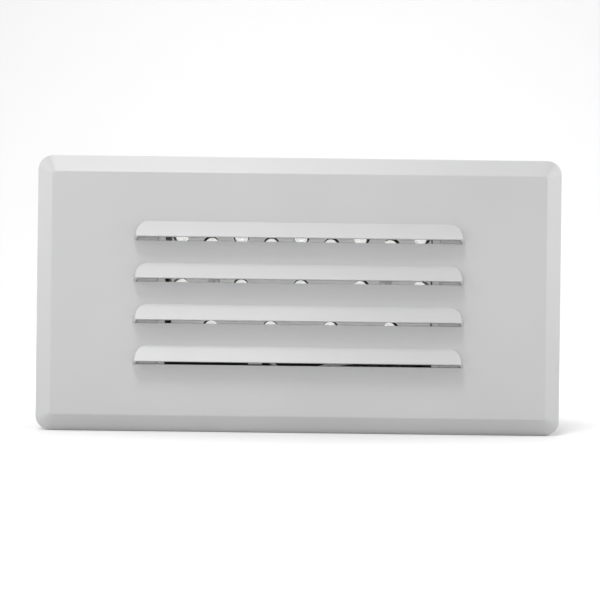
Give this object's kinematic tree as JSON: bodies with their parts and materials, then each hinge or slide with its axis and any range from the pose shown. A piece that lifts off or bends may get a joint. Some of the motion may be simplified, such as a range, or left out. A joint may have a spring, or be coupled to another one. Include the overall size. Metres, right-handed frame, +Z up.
{
  "type": "step light",
  "caption": "Recessed wall step light: louvred white steel faceplate on spring clips over a sheet-metal wall box with an LED board, driver and adjustable nailing brackets.",
  "frame": {"origin": "centre of the wall cut-out, in the plane of the finished wall", "axes": "+X right and +Z up as seen from the room, -Y out of the wall towards the room"},
  "size_m": [0.216, 0.0843, 0.1134],
  "materials": {
    "white_powder_coat": "satin white powder coat over pressed steel",
    "foam": "closed-cell foam, matt black",
    "galvanised": "hot-dip galvanised sheet with fine spangle",
    "zinc_plated": "bright zinc-plated steel",
    "spring_steel": "tempered spring steel, blued",
    "white_paint": "flat white paint",
    "aluminium": "satin",
    "screw_steel": "zinc plated",
    "solder_mask": "dark green solder mask on glass-fibre board",
    "led_epoxy": "milky epoxy",
    "resistor_body": "lacquered",
    "black_nylon": "moulded nylon",
    "white_nylon": "moulded nylon",
    "tinned_pins": "tinned",
    "white_pvc": "PVC insulation",
    "black_pvc": "PVC insulation",
    "green_pvc": "PVC insulation",
    "driver_black": "textured moulding",
    "yellow_tape": "ferrite core with polyester tape",
    "capacitor_sleeve": "shrink sleeve",
    "orange_nut": "ribbed moulding",
    "green_nut": "ribbed moulding",
    "green_screw": "dyed zinc plating"
  },
  "bodies": {
    "wall_box": {"box_back": "galvanised", "box_top": "galvanised", "box_bottom": "galvanised", "box_end_left": "galvanised", "box_end_right": "galvanised", "bracket_screws": "screw_steel", "inner_frame": "white_paint", "frame_screws": "screw_steel", "cross_strap": "zinc_plated", "strap_rivets": "aluminium", "standoffs": "aluminium", "panel_spacers": "white_nylon", "panel_screws": "screw_steel", "led_panel": "white_paint", "led_row_1": "led_epoxy", "led_row_2": "led_epoxy", "led_row_3": "led_epoxy", "led_row_4": "led_epoxy", "circuit_board": "solder_mask", "resistors": "resistor_body", "board_header": "black_nylon", "header_pins": "tinned_pins", "lead_plug": "white_nylon", "led_lead_positive": "white_pvc", "led_lead_negative": "white_pvc", "driver_base": "driver_black", "driver_case": "driver_black", "driver_board": "solder_mask", "driver_transformer": "yellow_tape", "driver_capacitors": "capacitor_sleeve", "driver_screws": "screw_steel", "supply_lead_black": "black_pvc", "supply_lead_white": "white_pvc", "supply_wire_nuts": "orange_nut", "ground_screw": "green_screw", "ground_terminal": "tinned_pins", "ground_lead": "green_pvc", "ground_wire_nut": "green_nut"},
    "face_assembly": {"faceplate": "white_powder_coat", "face_gasket": "foam", "clip_arm_left": "galvanised", "clip_arm_right": "galvanised", "spring_clip_left": "spring_steel", "spring_clip_right": "spring_steel", "clip_rivets": "aluminium"},
    "left_bracket": {"mounting_bracket_left": "zinc_plated"},
    "right_bracket": {"mounting_bracket_right": "zinc_plated"}
  },
  "joints": [
    {"name": "faceplate_pull", "type": "slide", "parent": "wall_box", "child": "face_assembly", "axis": [0, -1, 0], "range_m": [0, 0.042], "deforming": ["spring_clip_left", "spring_clip_right"]},
    {"name": "left_bracket_adjust", "type": "slide", "parent": "wall_box", "child": "left_bracket", "axis": [0, 1, 0], "range_m": [-0.006, 0.006]},
    {"name": "right_bracket_adjust", "type": "slide", "parent": "wall_box", "child": "right_bracket", "axis": [0, 1, 0], "range_m": [-0.006, 0.006]}
  ]
}
